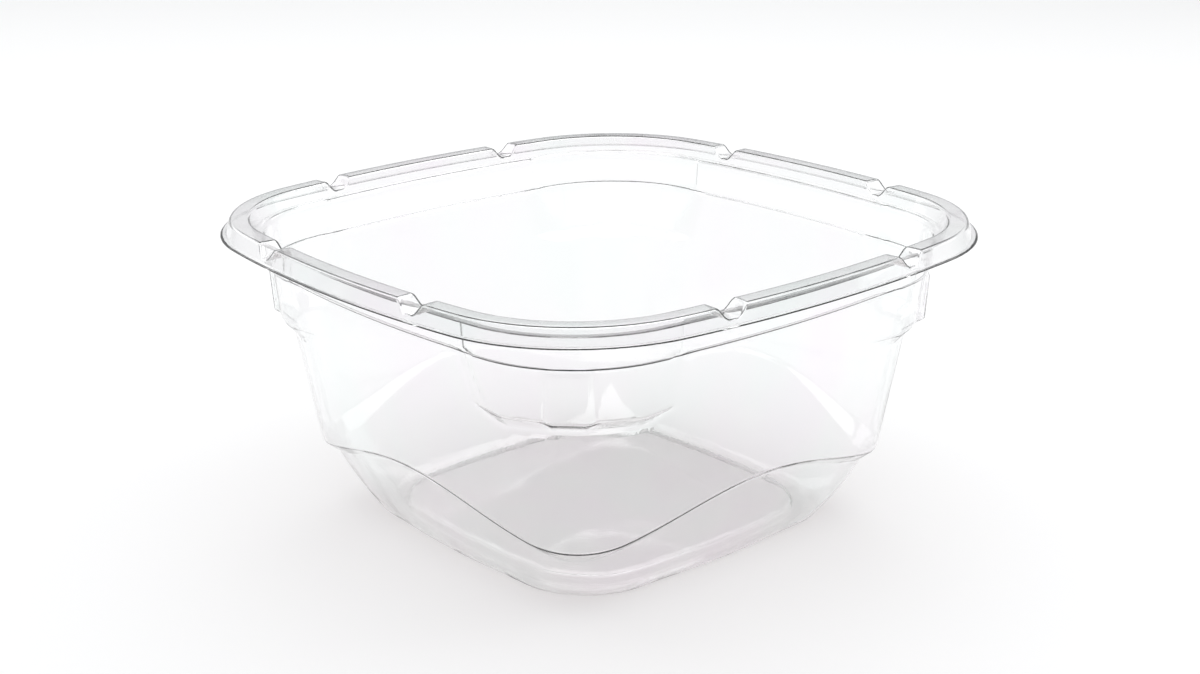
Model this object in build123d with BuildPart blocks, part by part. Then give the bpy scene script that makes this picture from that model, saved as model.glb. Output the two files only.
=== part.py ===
"""Thin clear square bowl with a hollow sealing rim, corner lugs and a wavy step, formed from one sheet.

Origin at the centre of the base, +Z up, the four sides facing +X, +Y, -X and -Y. Millimetres.
"""
from build123d import *
import os
from math import atan, atan2, cos, degrees, pi, radians, sin, sqrt, tan

os.makedirs("parts", exist_ok=True)

# Plan of the trimmed edge: across the middle, radius of the bowed sides, radius of the corners
width = 165.0
side_bow = 316.0
corner_radius = 42.4
sheet = 0.45

# Heights above the base
flange_height = 75.5
bead_rise = 3.8
ledge_height = flange_height - 9.0
lug_height = flange_height - 22.2
wave_height = flange_height - 52.4
wall_foot_height = flange_height - 61.0

# Insets of the rim's lines from the trimmed edge: skirt, crest and inner wall of the bead
flange_inset = 1.4
crest_outer_inset = 2.6
crest_inner_inset = 7.4
shoulder_inset = 8.5

# Collar under the shoulder, with a prouder panel round each corner
collar_inset = 11.4
collar_draft = 3.8
panel_proud = 0.75
panel_length = 47.5
panel_corner = 3.0

# Main wall under the ledge, and the sloping surface that cuts its wavy lower end
wall_inset = 13.8
wall_draft = 10.4
wave_inset = 21.5
wave_swing = 3.8
step_slope = 0.85
step_reach = 8.0

# Lug at each corner, its ends running out in ramps, with a flat pad on its middle
lug_inset = 12.3
lug_draft = 5.6
lug_overlap = 1.0
lug_foot_draft = 41.3
lug_foot_drop = 5.0
ramp_side_inset = 20.8
ramp_corner_inset = 6.9
ramp_side_draft = 6.0
ramp_corner_draft = 24.5
pad_inset = 11.25
pad_width = 9.7
pad_height = 13.0
pad_lean = 4.0
pad_draft = 25.0
pad_corner = 1.6

# Notches across the rim, two to a side
notch_offset = 29.0
notch_width = 7.8
notch_depth = 3.0
notch_draft = 30.0
notch_corner = 1.5

# Lower body: bow of the base's sides, then inset and corner radius on four levels up to the hip
base_bow = 240.0
base_inset = 33.8
base_radius = 0.156 * width
belly_share = 0.39
belly_inset = 30.7
belly_radius = base_radius - 13.5
flank_share = 0.7
flank_inset = 26.8
flank_radius = base_radius - 9.2
hip_height = wave_height + 2.9
hip_inset = 22.7
hip_radius = base_radius - 4.5

# Heel round the base, and the panel raised inside it
heel_radius = 4.5
foot_inset = 5.7
foot_rise = 2.0
foot_draft = 20.0

half_width = width / 2


def corner_centre(half, bow, radius):
    """Distance along X and Y of a round corner's centre, for a square plan with bowed sides."""
    rise = bow - half
    span = bow - radius
    return (sqrt(2 * span**2 - rise**2) - rise) / 2


def rounded_square(half, bow, radius):
    """Square plan with bowed sides and round corners."""
    centre = corner_centre(half, bow, radius)
    turn = degrees(atan2(centre, centre + bow - half))
    with BuildSketch() as plan:
        with BuildLine():
            for quarter in range(0, 360, 90):
                side = Vector(half - bow, 0).rotate(Axis.Z, quarter)
                corner = Vector(centre, centre).rotate(Axis.Z, quarter)
                CenterArc(side, bow, quarter - turn, 2 * turn)
                CenterArc(corner, radius, quarter + turn, 90 - 2 * turn)
        make_face()
    return plan.sketch


def outline(inset):
    """Plan of the trimmed edge moved inwards."""
    return rounded_square(half_width - inset, side_bow - inset, corner_radius - inset)


def wavy_line(inset, height):
    """Closed wavy line round the wall, high in the middle of each side and low at each corner."""
    centre = corner_centre(half_width, side_bow, corner_radius)
    rise = side_bow - half_width
    turn = atan2(centre, centre + rise)
    bow = side_bow - inset
    radius = corner_radius - inset
    half_side = bow * turn
    half_length = half_side + radius * (pi / 4 - turn)
    points = []
    for place in range(-4, 4):
        along = abs(place) / 4 * half_length
        if along < half_side:
            point = Vector(bow * cos(along / bow) - rise, bow * sin(along / bow))
        else:
            angle = turn + (along - half_side) / radius
            point = Vector(centre + radius * cos(angle), centre + radius * sin(angle))
        side = 1 if place > 0 else -1
        points.append(Vector(point.X, side * point.Y, height + wave_swing * cos(pi * place / 4)))
    around = [point.rotate(Axis.Z, quarter) for quarter in range(0, 360, 90) for point in points]
    return Edge.make_spline(around, periodic=True)


def wall_form(gap):
    """Main wall, its lower end cut by a wavy surface that slopes down and inwards."""
    middle = wave_height + gap / 2
    outer_line = wavy_line(wave_inset + gap - step_reach, middle + step_reach * step_slope)
    inner_line = wavy_line(wave_inset + gap + step_reach, middle - step_reach * step_slope)
    slope = Face.make_surface_from_curves(outer_line, inner_line)
    with BuildPart() as wall:
        with BuildSketch(Plane.XY.offset(ledge_height + gap)):
            add(outline(wall_inset + gap))
        extrude(amount=wall_foot_height - ledge_height, taper=wall_draft)
        extrude(slope, amount=flange_height, dir=(0, 0, -1), mode=Mode.SUBTRACT)
    return wall.part


def lower_form(gap):
    """Lower body, lofted down to the base and rounded at the heel, with a panel raised inside its foot."""
    with BuildPart() as lower:
        for share, inset, radius in (
            (1, hip_inset, hip_radius),
            (flank_share, flank_inset, flank_radius),
            (belly_share, belly_inset, belly_radius),
            (0, base_inset, base_radius),
        ):
            lift = 0.45 * gap if share > 0 else gap
            side = 0.9 * gap
            bow = base_bow + (side_bow - hip_inset - base_bow) * share
            with BuildSketch(Plane.XY.offset(share * hip_height + lift)):
                add(rounded_square(half_width - inset - side, bow - side, radius - side))
        loft()
        fillet(lower.edges().group_by(Axis.Z)[0], heel_radius - gap)
        foot_line = foot_inset - gap
        with BuildSketch(Plane.XY):
            foot_half = half_width - base_inset - foot_line
            add(rounded_square(foot_half, base_bow - foot_line, base_radius - foot_line))
        extrude(amount=foot_rise + gap, taper=foot_draft, mode=Mode.SUBTRACT)
    return lower.part


def collar_form(gap):
    """Collar between the shoulder and the ledge."""
    top = flange_height + 2 * gap
    with BuildPart() as collar:
        with BuildSketch(Plane.XY.offset(top)):
            add(outline(collar_inset + gap))
        extrude(amount=ledge_height + gap - top, taper=collar_draft)
    return collar.part


def panel_form(gap):
    """Panels that stand proud of the collar round its four corners, with rounded lower corners."""
    top = flange_height + 2 * gap
    bottom = ledge_height + gap
    start = half_width - panel_length + gap
    with BuildPart() as windows:
        with BuildSketch(Plane.XY.offset(bottom)):
            with GridLocations(2 * start + half_width, 2 * start + half_width, 2, 2):
                Rectangle(half_width, half_width)
        extrude(amount=top - bottom)
        low_edges = windows.edges().group_by(Axis.Z)[0]
        ends = low_edges.filter_by(lambda edge: min(abs(edge.center().X), abs(edge.center().Y)) < start + 1)
        fillet(ends, panel_corner - gap)
    with BuildPart() as panels:
        with BuildSketch(Plane.XY.offset(top)):
            add(outline(collar_inset - panel_proud + gap))
        extrude(amount=bottom - top, taper=collar_draft)
        add(windows.part, mode=Mode.INTERSECT)
    return panels.part


def ramp_plan(height, gap):
    """Eight-pointed plan of the ramps at one height, with its long sides running out into the walls."""
    drop = ledge_height - height
    side = half_width - ramp_side_inset - drop * tan(radians(ramp_side_draft)) - gap
    corner = half_width - ramp_corner_inset - drop * tan(radians(ramp_corner_draft)) - 1.2 * gap
    with BuildSketch() as plan:
        with BuildLine():
            points = []
            for turn in range(0, 360, 90):
                points.append(Vector(side, 0).rotate(Axis.Z, turn))
                points.append(Vector(corner, corner).rotate(Axis.Z, turn))
            Polyline(points, close=True)
        make_face()
    return plan.sketch


def lug_form(gap):
    """Lugs that carry the collar's corners down over the ledge, each running out in two gentle ramps."""
    top = ledge_height + lug_overlap
    knee = lug_height + 0.4 * gap
    knee_inset = lug_inset + gap + (top - knee) * tan(radians(lug_draft))
    with BuildPart() as ramps:
        for height in (top, knee):
            with BuildSketch(Plane.XY.offset(height)):
                add(ramp_plan(height, gap))
        loft(ruled=True)
    with BuildPart() as lugs:
        with BuildSketch(Plane.XY.offset(top)):
            add(outline(lug_inset + gap))
        extrude(amount=knee - top, taper=lug_draft)
        add(ramps.part, mode=Mode.INTERSECT)
        with BuildSketch(Plane.XY.offset(knee)):
            add(outline(knee_inset))
            add(ramp_plan(knee, gap), mode=Mode.INTERSECT)
        extrude(amount=-lug_foot_drop, taper=lug_foot_draft)
    return lugs.part


def pad_form(gap):
    """Flat pads on the four corners, facing out along the diagonals and leaning in downwards."""
    diagonal = corner_centre(half_width, side_bow, corner_radius) * sqrt(2) + corner_radius
    height = pad_height - gap
    depth = 1.5 * (wall_inset - pad_inset)
    with BuildPart() as pads:
        for turn in range(45, 405, 90):
            outwards = Vector(cos(radians(pad_lean)), 0, -sin(radians(pad_lean))).rotate(Axis.Z, turn)
            level = Vector(0, 1, 0).rotate(Axis.Z, turn)
            head = Vector(diagonal - pad_inset - gap, 0, ledge_height + gap).rotate(Axis.Z, turn)
            with BuildSketch(Plane(origin=head, x_dir=level, z_dir=outwards)) as face:
                with Locations((0, -height / 2)):
                    Rectangle(pad_width - 2 * gap, height)
                fillet(face.vertices().group_by(Axis.Y)[0], pad_corner - gap)
            extrude(amount=-depth, taper=-pad_draft)
    return pads.part


def bead_form(gap):
    """Bead raised round the rim, with two notches across it on every side."""
    base = flange_height - gap
    side_gap = 0.73 * gap
    skirt_draft = degrees(atan((crest_outer_inset - flange_inset) / bead_rise))
    inner_draft = degrees(atan((shoulder_inset - crest_inner_inset) / bead_rise))
    floor = bead_rise - notch_depth - gap
    cut_height = notch_depth + gap + sheet
    cut_width = notch_width + 2 * gap + 2 * sheet * tan(radians(notch_draft))
    with BuildPart() as bead:
        with BuildSketch(Plane.XY.offset(base)):
            add(outline(flange_inset + side_gap))
        extrude(amount=bead_rise, taper=skirt_draft)
        with BuildSketch(Plane.XY.offset(base)):
            add(outline(shoulder_inset - side_gap))
        extrude(amount=bead_rise, taper=-inner_draft, mode=Mode.SUBTRACT)
        for turn in range(0, 360, 90):
            outwards = Vector(1, 0, 0).rotate(Axis.Z, turn)
            level = Vector(0, 1, 0).rotate(Axis.Z, turn)
            with BuildSketch(Plane(origin=(0, 0, flange_height), x_dir=level, z_dir=outwards)) as notch:
                with Locations((-notch_offset, floor + cut_height / 2), (notch_offset, floor + cut_height / 2)):
                    Trapezoid(cut_width, cut_height, 90 - notch_draft, rotation=180)
                fillet(notch.vertices().group_by(Axis.Y)[0], notch_corner + gap)
            extrude(amount=width, mode=Mode.SUBTRACT)
    return bead.part


def body_forms(gap):
    """Every form that makes up the body, at the outer face or set in by the sheet."""
    return [wall_form(gap), lower_form(gap), collar_form(gap), panel_form(gap), lug_form(gap), pad_form(gap)]


outer_forms = body_forms(0)
inner_forms = body_forms(sheet)
bead_outside = bead_form(0)
bead_inside = bead_form(sheet)

with BuildPart() as bowl:
    # Flange and shoulder in one flat sheet, then the bead and the body as solids
    with BuildSketch(Plane.XY.offset(flange_height - sheet)):
        add(outline(0))
    extrude(amount=sheet)
    add(bead_outside)
    for form in outer_forms:
        add(form)
    # Hollow under the bead and inside the body, leaving the sheet
    add(bead_inside, mode=Mode.SUBTRACT)
    for form in inner_forms:
        add(form, mode=Mode.SUBTRACT)

bowl.part.label = "bowl"
export_step(bowl.part, "parts/bowl.step")
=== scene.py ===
import bpy
import numpy as np
from math import atan2, pi, radians, sqrt, tan
from mathutils import Matrix, Vector


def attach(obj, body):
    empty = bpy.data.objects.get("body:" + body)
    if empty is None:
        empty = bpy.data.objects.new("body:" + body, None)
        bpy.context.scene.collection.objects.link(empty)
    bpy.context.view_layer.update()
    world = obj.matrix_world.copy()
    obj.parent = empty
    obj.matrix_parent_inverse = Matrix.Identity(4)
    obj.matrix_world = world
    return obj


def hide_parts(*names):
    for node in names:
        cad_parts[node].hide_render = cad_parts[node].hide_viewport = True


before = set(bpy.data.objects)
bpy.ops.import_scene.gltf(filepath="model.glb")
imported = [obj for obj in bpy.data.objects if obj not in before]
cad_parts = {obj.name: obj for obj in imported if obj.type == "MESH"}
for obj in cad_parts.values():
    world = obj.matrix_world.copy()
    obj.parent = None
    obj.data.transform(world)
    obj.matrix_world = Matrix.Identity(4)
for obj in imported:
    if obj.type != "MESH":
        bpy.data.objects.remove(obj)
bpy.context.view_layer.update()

# Camera at the photograph's viewing place.
# A corner of the bowl points at it, and it looks down on the bowl from a little above the rim.
view_turn = 49.24
view_height = 18.657
view_roll = -0.525
view_distance = 0.484
view_centre = Vector((0.000485, 0.000563, 0.04594))
lens_length = 56.17
sensor_width = 36.0
nearest_seen = 0.01
camera_data = bpy.data.cameras.new("camera")
camera_data.lens = lens_length
camera_data.sensor_width = sensor_width
camera_data.clip_start = nearest_seen
camera = bpy.data.objects.new("camera", camera_data)
tilt = Matrix.Rotation(radians(view_turn), 4, "Z") @ Matrix.Rotation(radians(90 - view_height), 4, "X")
stand = Matrix.Translation(view_centre + tilt @ Vector((0, 0, view_distance)))
camera.matrix_world = stand @ tilt @ Matrix.Rotation(radians(view_roll), 4, "Z")
bpy.context.scene.collection.objects.link(camera)
bpy.context.scene.camera = camera
bpy.context.scene.view_settings.view_transform = "Standard"

# Pale studio floor.
# A wide sheet of matt paper that runs past the picture on every side.
# It lies a hair under the foot, so that the two faces don't coincide.
floor_reach = 3.0
floor_drop = 0.00005
quarters = ((-1, -1), (1, -1), (1, 1), (-1, 1))
floor_mesh = bpy.data.meshes.new("floor")
floor_corners = [(x * floor_reach, y * floor_reach, -floor_drop) for x, y in quarters]
floor_mesh.from_pydata(floor_corners, [], [(0, 1, 2, 3)])
floor = bpy.data.objects.new("floor", floor_mesh)
bpy.context.scene.collection.objects.link(floor)
floor_paper = bpy.data.materials.new("floor_paper")
floor_paper.use_nodes = True
paper = floor_paper.node_tree.nodes["Principled BSDF"]
paper.inputs["Base Color"].default_value = (0.93, 0.93, 0.93, 1)
paper.inputs["Roughness"].default_value = 0.9
paper.inputs["Specular IOR Level"].default_value = 0.1
floor_mesh.materials.append(floor_paper)

# Studio lights.
# One broad soft box overhead, a smaller one on each side and one far behind the bowl.
# The room itself is dim grey, so that the clear edges have something darker to mirror.
world = bpy.data.worlds.new("studio")
world.use_nodes = True
room = world.node_tree.nodes["Background"]
room.inputs["Color"].default_value = (0.82, 0.83, 0.84, 1)
room.inputs["Strength"].default_value = 0.6
bpy.context.scene.world = world
for name, place, size, power in (
    ("overhead", (0.0, 0.1, 1.1), 1.5, 9.3),
    ("left", (-1.1, -0.2, 0.7), 0.8, 1.8),
    ("right", (0.5, 1.1, 0.7), 0.8, 1.8),
    ("far", (-1.2, 1.1, 1.6), 1.3, 5.4),
):
    lamp_data = bpy.data.lights.new(name, "AREA")
    lamp_data.shape = "SQUARE"
    lamp_data.size = size
    lamp_data.energy = power
    lamp = bpy.data.objects.new(name, lamp_data)
    lamp.location = place
    lamp.rotation_euler = (-Vector(place)).to_track_quat("-Z", "Y").to_euler()
    bpy.context.scene.collection.objects.link(lamp)

# The bowl.
# One sheet of clear PET, drawn into a mould while hot and trimmed round the flange.
# Rows of points round the bowl follow its under side, in millimetres, with the upper side one sheet above.
half_width = 82.5
side_bow = 316.0
corner_radius = 42.4
sheet = 0.45


def corner_centre(half, bow, radius):
    """Distance along X and Y of a round corner's centre, in a square plan with bowed sides."""
    rise = bow - half
    return (np.sqrt(2 * (bow - radius) ** 2 - rise**2) - rise) / 2


def highest(a, b, blend):
    """The larger of two values, blended where they cross."""
    share_a = np.clip(0.5 + 0.5 * (a - b) / blend, 0, 1)
    return b + (a - b) * share_a + blend * share_a * (1 - share_a)


def lowest(a, b, blend):
    """The smaller of two values, blended where they cross."""
    return -highest(-a, -b, blend)


# Places round one quarter, from a side's middle and from a corner's diagonal, closer at notches and pads
centre = corner_centre(half_width, side_bow, corner_radius)
turn = atan2(centre, centre + side_bow - half_width)
side_places = np.r_[6, 12, 17, 21, 23.4, np.arange(24.2, 36.1, 0.36), 37, 38.3, 39.8, 41.4]
corner_places = np.r_[1.7, 3.4, 5.0, np.arange(6.0, 9.7, 0.55), 10.4, 11.6, np.arange(13, 24.3, 1.4), 25.8]
side_shares = np.r_[-side_places[::-1], 0, side_places] / (side_bow * turn)
corner_shares = 0.5 + np.r_[-corner_places[::-1], 0, corner_places] / (corner_radius * (pi / 2 - 2 * turn))
share = np.tile(np.r_[side_shares, corner_shares], 4)
on_side = np.tile(np.r_[np.ones(len(side_shares), bool), np.zeros(len(corner_shares), bool)], 4)
columns = len(share)
quarter_turn = np.repeat(np.arange(4) * pi / 2, columns // 4)


def plan(half, bow, radius):
    """Centres and directions of one plan's arcs at every place, and the angles in its quarter."""
    middle = corner_centre(half, bow, radius)
    bend = np.arctan2(middle, middle + bow - half)
    angle = np.where(on_side, share * bend, bend + share * (pi / 2 - 2 * bend))
    x = np.where(on_side, half - bow, middle)
    y = np.where(on_side, 0, middle)
    cosine, sine = np.cos(quarter_turn), np.sin(quarter_turn)
    way = np.c_[np.cos(angle + quarter_turn), np.sin(angle + quarter_turn)]
    return np.c_[x * cosine - y * sine, x * sine + y * cosine], way, angle


def outline(inset, bow, radius):
    """Points of a square plan with bowed sides, set in from the trimmed edge."""
    middles, way, _ = plan(half_width - inset, bow, radius)
    return middles + np.where(on_side, bow, radius)[:, None] * way


arc_centre, outwards, local = plan(half_width, side_bow, corner_radius)
arc_radius = np.where(on_side, side_bow, corner_radius)
from_diagonal = local - pi / 4
diagonal = centre * sqrt(2) + corner_radius


def at(inset, z):
    """Row of points at an inset from the trimmed edge and a height."""
    spots = arc_centre + (arc_radius - inset)[:, None] * outwards
    return np.c_[spots, np.broadcast_to(z, columns)]


# Lower body: four levels from the base up to the hip, joined by one cubic curve at every place
hip_z = 26.0
base_inset, base_bow, base_radius = 33.8, 240.0, 25.74
levels = (
    (0.0, outline(base_inset, base_bow, base_radius)),
    (0.39, outline(29.4, 260.8, 10.5)),
    (0.7, outline(25.7, 277.3, 14.3)),
    (1.0, outline(22.3, 293.3, 20.4)),
)


def lower_body(z):
    """Plan points of the lower body, at a height for every place."""
    height = np.broadcast_to(np.minimum(z, hip_z), columns) / hip_z
    total = np.zeros((columns, 2))
    for level, points in levels:
        weight = np.ones(columns)
        for other, _ in levels:
            if other != level:
                weight = weight * (height - other) / (level - other)
        total += weight[:, None] * points
    return total


# Upper body: main wall under the ledge, and on every corner a lug between two ramps, with a flat pad on it
ledge_z = 66.5
wall_inset, wall_draft = 13.8, 10.4
lug_top_z, lug_inset, lug_draft = 67.5, 12.3, 5.6
knee_z, knee_arch, knee_arch_reach, lug_foot_draft = 53.3, 0.7, 0.6, 41.3
ramp_side_inset, ramp_side_draft = 20.8, 6.0
ramp_corner_inset, ramp_corner_draft = 6.9, 24.5
pad_inset, pad_lean, pad_draft = 11.25, 4.0, 31.0
pad_foot_z, pad_half_width, pad_foot_half_width = 53.5, 5.3, 3.8
pad_foot_slant = (0.48, 0.88)
pad_head_z, pad_head_set_back = 64.3, 0.7
beyond_pad, no_pad = 0.5, 99.0
ramp_blend, knee_blend, lug_blend, wall_blend = 0.15, 0.25, 0.5, 0.4
pad_side_blend, pad_foot_blend, pad_corner_blend = 2.0, 0.25, 0.2

fold = np.where(local > pi / 4, pi / 2 - local, np.abs(local))
fold_way = np.c_[np.cos(fold), np.sin(fold)]
fold_centre = np.where(on_side[:, None], [half_width - side_bow, 0], [centre, centre])


def lug(z):
    """Inset of the lugs, which stand out from the wall in the corners and run out in flat ramps."""
    arch = np.clip(1 - (from_diagonal / knee_arch_reach) ** 2, 0, 1) * ~on_side
    knee = knee_z + knee_arch * arch
    above = np.maximum(z, knee)
    side = half_width - ramp_side_inset - (ledge_z - above) * tan(radians(ramp_side_draft))
    corner = half_width - ramp_corner_inset - (ledge_z - above) * tan(radians(ramp_corner_draft))
    across = np.c_[corner, side - corner]
    ramp_radius = (side * corner - (fold_centre * across).sum(1)) / (fold_way * across).sum(1)
    face = lug_inset + (lug_top_z - above) * tan(radians(lug_draft))
    below = highest(knee - z, 0 * z, knee_blend)
    return highest(face, arc_radius - ramp_radius, ramp_blend) + below * tan(radians(lug_foot_draft))


def pad(z):
    """Inset of the flat pads on the diagonals, with slanted lower corners."""
    face = diagonal - pad_inset - (ledge_z - z) * tan(radians(pad_lean)) - centre * sqrt(2)
    inset = arc_radius - face / np.cos(from_diagonal)
    beside = np.abs((arc_radius - inset) * np.sin(from_diagonal))
    below = pad_foot_z - z
    sideways, downwards = pad_foot_slant
    foot = np.maximum(below, sideways * (beside - pad_foot_half_width) + downwards * below)
    sides = highest(beside - pad_half_width, 0 * z, pad_side_blend)
    edge = highest(sides, highest(foot, 0 * z, pad_foot_blend), pad_corner_blend)
    near_ledge = np.clip((z - pad_head_z) / (ledge_z - pad_head_z), 0, 1)
    inset = inset + edge / tan(radians(pad_draft)) + pad_head_set_back * near_ledge**2
    return np.where(on_side | (np.abs(from_diagonal) > beyond_pad), no_pad, inset)


def upper_body(z):
    """Inset of the body under the ledge, at a height for every place."""
    z = np.broadcast_to(z, columns).astype(float)
    wall = wall_inset + (ledge_z - z) * tan(radians(wall_draft))
    return lowest(wall, lowest(lug(z), pad(z), lug_blend), wall_blend)


# Wavy step: a surface that slopes down and inwards cuts the main wall above the lower body
wave_z, wave_swing, wave_inset, step_slope = 23.1, 3.8, 21.5, 0.85
crest_blend, foot_blend, shortest_step = 0.35, 0.4, 1.1
half_side = (side_bow - wave_inset) * turn
half_length = half_side + (corner_radius - wave_inset) * (pi / 4 - turn)
past_side = (corner_radius - wave_inset) * (np.minimum(local, pi / 2 - local) - turn)
along = np.where(on_side, np.abs(local) * (side_bow - wave_inset), half_side + past_side)
wave = wave_z + wave_swing * np.cos(pi * along / half_length)


def slope(z):
    """Inset of the sloping surface at a height for every place."""
    return wave_inset + (wave - z) / step_slope


def past_lower_body(inset, z):
    """Plan points of the lower body, and how far and which way an inset's points lie from them."""
    low = lower_body(z)
    offset = at(inset, z)[:, :2] - low
    return low, offset, (offset * outwards).sum(1)


def stepped(z):
    """Row of points on the wall, the wavy step and the lower body, at a height for every place."""
    z = np.broadcast_to(z, columns).astype(float)
    inset = highest(upper_body(z), slope(z), crest_blend)
    low, offset, gap = past_lower_body(inset, z)
    sideways = offset - gap[:, None] * outwards
    joined = low + outwards * highest(gap, 0 * gap, foot_blend)[:, None]
    joined = joined + sideways * np.clip(gap, 0, 1)[:, None]
    return np.c_[np.where((z > hip_z)[:, None], low + offset, joined), z]


tried_z = np.linspace(30, 10, 401)
cut_away = np.array([slope(z) > upper_body(z) for z in tried_z])
crest_z = tried_z[np.argmax(cut_away, axis=0)]
run_out = np.array([past_lower_body(slope(z), z)[2] < 0 for z in tried_z])
run_out = run_out & (tried_z[:, None] < crest_z)
foot_z = np.minimum(tried_z[np.argmax(run_out, axis=0)], crest_z - shortest_step)

# Rim: flange, hollow bead with two notches to a side, shoulder, and collar with prouder corner panels
flange_z, flange_top_z = 75.05, 75.5
bead_rise, bead_outer_inset, bead_inner_inset = 3.8, 1.73, 8.17
bead_outer_lean, bead_inner_lean = 0.316, 0.289
notch_offset, notch_half_width, notch_ramp, notch_depth = 29.0, 3.9, 1.9, 2.8
notch_floor_blend, notch_crest_blend = 0.2, 0.6
collar_inset, collar_draft = 11.4, 3.8
panel_proud, panel_start, panel_corner, panel_edge = 0.75, 35.0, 3.0, 0.7
trim_rows = (0.3, 0.8)
bead_rounding = (0.4, 0.35, 0.35, 0.4)
shoulder_rounding, ledge_in_rounding, ledge_out_rounding = 0.8, 0.8, 0.9

aside = np.abs(np.sin(local) * (side_bow - 5))
notch_run = (notch_half_width - np.abs(aside - notch_offset)) / notch_ramp
notch = lowest(highest(notch_run, 0 * aside, notch_floor_blend), 1 + 0 * aside, notch_crest_blend)
bead = bead_rise - notch_depth * np.clip(np.where(on_side, notch, 0), 0, 1)


def collar(z):
    """Inset of the collar's outer face at one height, with the panels round the corners."""
    spot = at(collar_inset, z)
    nearest = np.minimum(np.abs(spot[:, 0]), np.abs(spot[:, 1]))
    rise = min(max(panel_corner - (z - ledge_z), 0), panel_corner)
    edge = panel_start + panel_corner - sqrt(panel_corner**2 - rise**2)
    inside = np.clip((nearest - edge) / panel_edge + 0.5, 0, 1)
    proud = panel_proud * inside**2 * (3 - 2 * inside)
    return collar_inset + (flange_top_z - z) * tan(radians(collar_draft)) - proud


def spots(inset, z):
    """Insets and heights of one row of a section."""
    return np.c_[np.broadcast_to(inset, columns), np.broadcast_to(z, columns)].astype(float)


def rounded(before, corner, after, radius):
    """Four rows of a section that round one of its corners."""
    ends = []
    for other in (before, after):
        away = other - corner
        length = np.maximum(np.hypot(away[:, :1], away[:, 1:]), 1e-6)
        ends.append(corner + away / length * np.minimum(radius, 0.45 * length))
    start, end = ends
    return [(1 - t) ** 2 * start + 2 * t * (1 - t) * corner + t * t * end for t in (0, 0.33, 0.67, 1)]


bead_section = [
    spots(trim_rows[0], flange_z),
    spots(bead_outer_inset, flange_z),
    spots(bead_outer_inset + bead_outer_lean * bead, flange_z + bead),
    spots(bead_inner_inset - bead_inner_lean * bead, flange_z + bead),
    spots(bead_inner_inset, flange_z),
    spots(collar(flange_z), flange_z),
]
rim_section = [spots(inset, flange_z) for inset in trim_rows]
for before, corner, after, radius in zip(bead_section, bead_section[1:], bead_section[2:], bead_rounding):
    rim_section += rounded(before, corner, after, radius)
rim_section += rounded(bead_section[-2], bead_section[-1], spots(collar(73.0), 73.0), shoulder_rounding)
for z in (72.5, 70.8, 69.7, 69.2, 68.7, 68.2, 67.7):
    rim_section.append(spots(collar(z), z))
ledge_in = spots(collar(ledge_z), ledge_z)
ledge_out = spots(upper_body(ledge_z), ledge_z)
rim_section += rounded(spots(collar(68.3), 68.3), ledge_in, ledge_out, ledge_in_rounding)
rim_section += rounded(ledge_in, ledge_out, spots(upper_body(64.4), 64.4), ledge_out_rounding)
rows = [at(row[:, 0], row[:, 1]) for row in rim_section]

# Body rows: down the wall, closer round the pads' and lugs' lower ends, then across the wavy step
down_to_knee = (64.6, 62.0, 59.0, 57.0, 55.6, 54.9, 54.3, 53.8, 53.3)
down_to_step = (52.8, 52.2, 51.4, 50.5, 49.6, 48.4, 45.5, 41.0, 36.0)
for z in down_to_knee + down_to_step:
    rows.append(at(upper_body(z), z))
for above in (5.0, 2.5, 1.3, 0.8, 0.45, 0.15, -0.15, -0.45):
    rows.append(stepped(crest_z + above))
rows.append(stepped((crest_z + foot_z) / 2))
below_foot = 2.2
for above in (0.45, 0.2, -0.05, -0.3, -0.7, -1.3, -below_foot):
    rows.append(stepped(foot_z + above))

# Heel: an arc that leaves the lower body where it is tangent to it, and ends on the base
heel_radius = 4.5
first_lean = 0.3
_, base_outwards, _ = plan(half_width - base_inset, base_bow, base_radius)
base_line = levels[0][1]
lean = np.full(columns, first_lean)
for _ in range(4):
    tangent_z = heel_radius * (1 - np.sin(lean))
    flare = ((lower_body(tangent_z) - base_line) * base_outwards).sum(1) / tangent_z
    lean = np.mean([np.roll(np.arctan(flare), step) for step in range(-4, 5)], axis=0)
heel_reach = heel_radius * np.tan((pi / 2 - lean) / 2)
for part in (0.25, 0.5, 0.75):
    z = (foot_z - below_foot) * (1 - part) + tangent_z * part
    rows.append(np.c_[lower_body(z), z])
for part in (1.0, 0.8, 0.6, 0.4, 0.2, 0.0):
    bend = (pi / 2 - lean) * part
    set_in = heel_reach - heel_radius * np.sin(bend)
    z = heel_radius - heel_radius * np.cos(bend)
    rows.append(np.c_[base_line - base_outwards * set_in[:, None], z])

# Base: a flat ring to stand on, and the panel raised inside it
ring_inner, panel_outer, panel_inner, panel_rise, base_rounding = 5.7, 6.43, 9.0, 2.0, 0.6


def base_row(set_in, z):
    """Row of points on the base, set in from its outline."""
    flat_points = outline(base_inset + set_in, base_bow - set_in, base_radius - set_in)
    return np.c_[flat_points, np.broadcast_to(z, columns)]


base_section = [
    spots(heel_reach, 0.0),
    spots(ring_inner, 0.0),
    spots(panel_outer, panel_rise),
    spots(panel_inner, panel_rise),
]
for before, corner, after in zip(base_section, base_section[1:], base_section[2:]):
    for row in rounded(before, corner, after, base_rounding):
        rows.append(base_row(row[:, 0], row[:, 1]))
for shrink in (1.0, 0.7, 0.4, 0.1):
    rows.append(base_row(panel_inner, panel_rise) * [shrink, shrink, 1])

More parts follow.
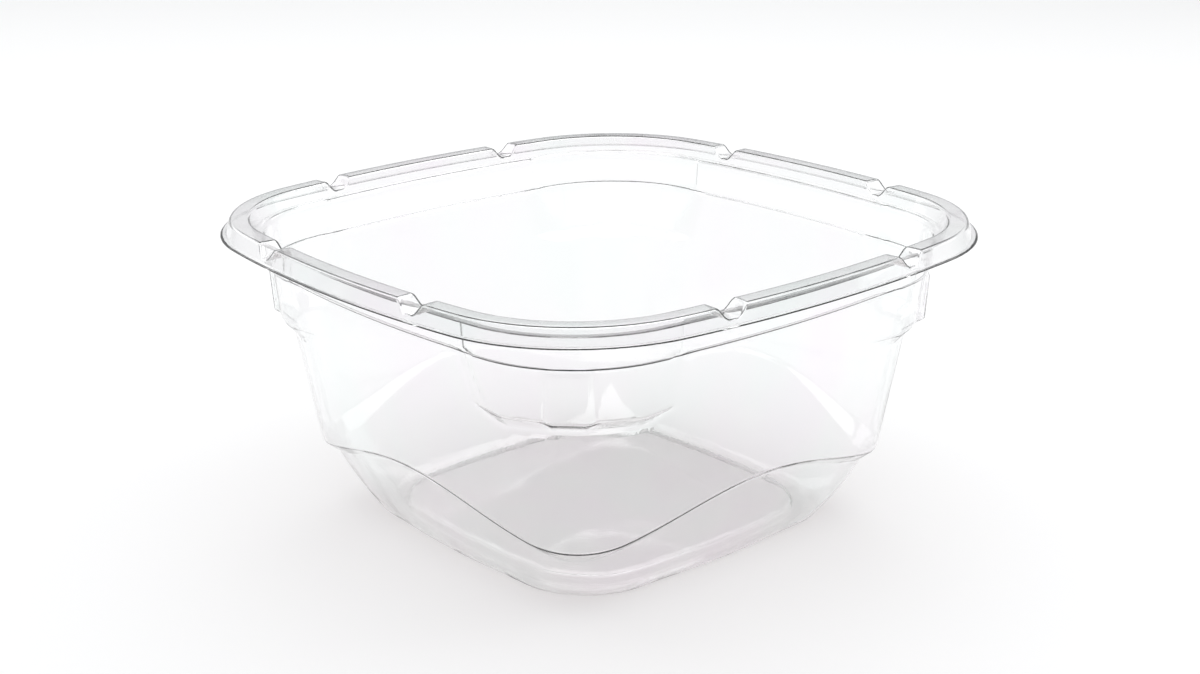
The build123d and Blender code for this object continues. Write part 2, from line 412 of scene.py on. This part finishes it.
# Both sides of the sheet with the trimmed edge between them, closed over the middle of the base
under = np.array(rows)
row_way = np.roll(under, -1, axis=1) - np.roll(under, 1, axis=1)
normal = np.cross(row_way, np.gradient(under, axis=0))
normal /= np.linalg.norm(normal, axis=2, keepdims=True)
upper = under + sheet * normal
trim = at(0.0, flange_z + sheet / 2)[None]
points = np.concatenate([under[::-1], trim, upper]).reshape(-1, 3)
points = np.r_[points, [[0, 0, panel_rise], [0, 0, panel_rise + sheet]]]
under_middle, upper_middle = len(points) - 2, len(points) - 1
last_row = 2 * len(under) * columns
faces = []
for start in range(0, last_row, columns):
    for column in range(columns):
        beside = (column + 1) % columns
        faces.append((start + column, start + beside, start + columns + beside, start + columns + column))
for column in range(columns):
    beside = (column + 1) % columns
    faces.append((under_middle, beside, column))
    faces.append((upper_middle, last_row + column, last_row + beside))
bowl_mesh = bpy.data.meshes.new("bowl_sheet")
bowl_mesh.from_pydata((points / 1000).tolist(), [], faces)
bowl_mesh.validate()
bowl_mesh.shade_smooth()
bowl = bpy.data.objects.new("bowl_sheet", bowl_mesh)
bpy.context.scene.collection.objects.link(bowl)

# Clear plastic with the faint marks of drawing: patches of tint, smears of gloss, slow waves, a fine peel
clear_sheet = bpy.data.materials.new("clear_sheet")
clear_sheet.use_nodes = True
nodes = clear_sheet.node_tree.nodes
links = clear_sheet.node_tree.links
drawn_down = nodes.new("ShaderNodeMapping")
drawn_down.inputs["Scale"].default_value = (1.0, 1.0, 0.45)
links.new(nodes.new("ShaderNodeTexCoord").outputs["Object"], drawn_down.inputs["Vector"])


def draw_marks(scale, detail):
    """Noise over the bowl, stretched along its height."""
    noise = nodes.new("ShaderNodeTexNoise")
    noise.inputs["Scale"].default_value = scale
    noise.inputs["Detail"].default_value = detail
    links.new(drawn_down.outputs["Vector"], noise.inputs["Vector"])
    return noise.outputs["Fac"]


tint = nodes.new("ShaderNodeValToRGB")
tint.color_ramp.elements[0].position = 0.35
tint.color_ramp.elements[0].color = (0.965, 0.985, 0.980, 1)
tint.color_ramp.elements[1].position = 0.65
tint.color_ramp.elements[1].color = (0.985, 0.965, 0.985, 1)
clearer = tint.color_ramp.elements.new(0.5)
clearer.color = (0.984, 0.984, 0.986, 1)
links.new(draw_marks(34.0, 2.0), tint.inputs["Fac"])
gloss = nodes.new("ShaderNodeMapRange")
gloss.inputs["From Min"].default_value = 0.35
gloss.inputs["From Max"].default_value = 0.75
gloss.inputs["To Min"].default_value = 0.012
gloss.inputs["To Max"].default_value = 0.06
links.new(draw_marks(160.0, 4.0), gloss.inputs["Value"])
relief = nodes.new("ShaderNodeMath")
relief.operation = "MULTIPLY_ADD"
relief.inputs[1].default_value = 0.06
links.new(draw_marks(900.0, 2.0), relief.inputs[0])
links.new(draw_marks(75.0, 1.0), relief.inputs[2])
bump = nodes.new("ShaderNodeBump")
bump.inputs["Strength"].default_value = 0.25
bump.inputs["Distance"].default_value = 0.0004
links.new(relief.outputs[0], bump.inputs["Height"])
pet = nodes["Principled BSDF"]
pet.inputs["Transmission Weight"].default_value = 1.0
pet.inputs["IOR"].default_value = 1.57
links.new(tint.outputs["Color"], pet.inputs["Base Color"])
links.new(gloss.outputs["Result"], pet.inputs["Roughness"])
links.new(bump.outputs["Normal"], pet.inputs["Normal"])

# Light for the floor goes straight through, slightly shaded, and so does light caught in the sheet
most_crossings = 5.0
path = nodes.new("ShaderNodeLightPath")
trapped = nodes.new("ShaderNodeMath")
trapped.operation = "GREATER_THAN"
trapped.inputs[1].default_value = most_crossings
links.new(path.outputs["Transmission Depth"], trapped.inputs[0])
straight = trapped.outputs[0]
for ray in ("Is Shadow Ray", "Is Diffuse Ray"):
    either = nodes.new("ShaderNodeMath")
    either.operation = "MAXIMUM"
    links.new(straight, either.inputs[0])
    links.new(path.outputs[ray], either.inputs[1])
    straight = either.outputs[0]
shade = nodes.new("ShaderNodeBsdfTransparent")
shade.inputs["Color"].default_value = (0.875, 0.862, 0.862, 1)
mix = nodes.new("ShaderNodeMixShader")
links.new(straight, mix.inputs[0])
links.new(pet.outputs["BSDF"], mix.inputs[1])
links.new(shade.outputs["BSDF"], mix.inputs[2])
links.new(mix.outputs["Shader"], nodes["Material Output"].inputs["Surface"])
bowl_mesh.materials.append(clear_sheet)
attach(bowl, "root")
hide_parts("bowl")
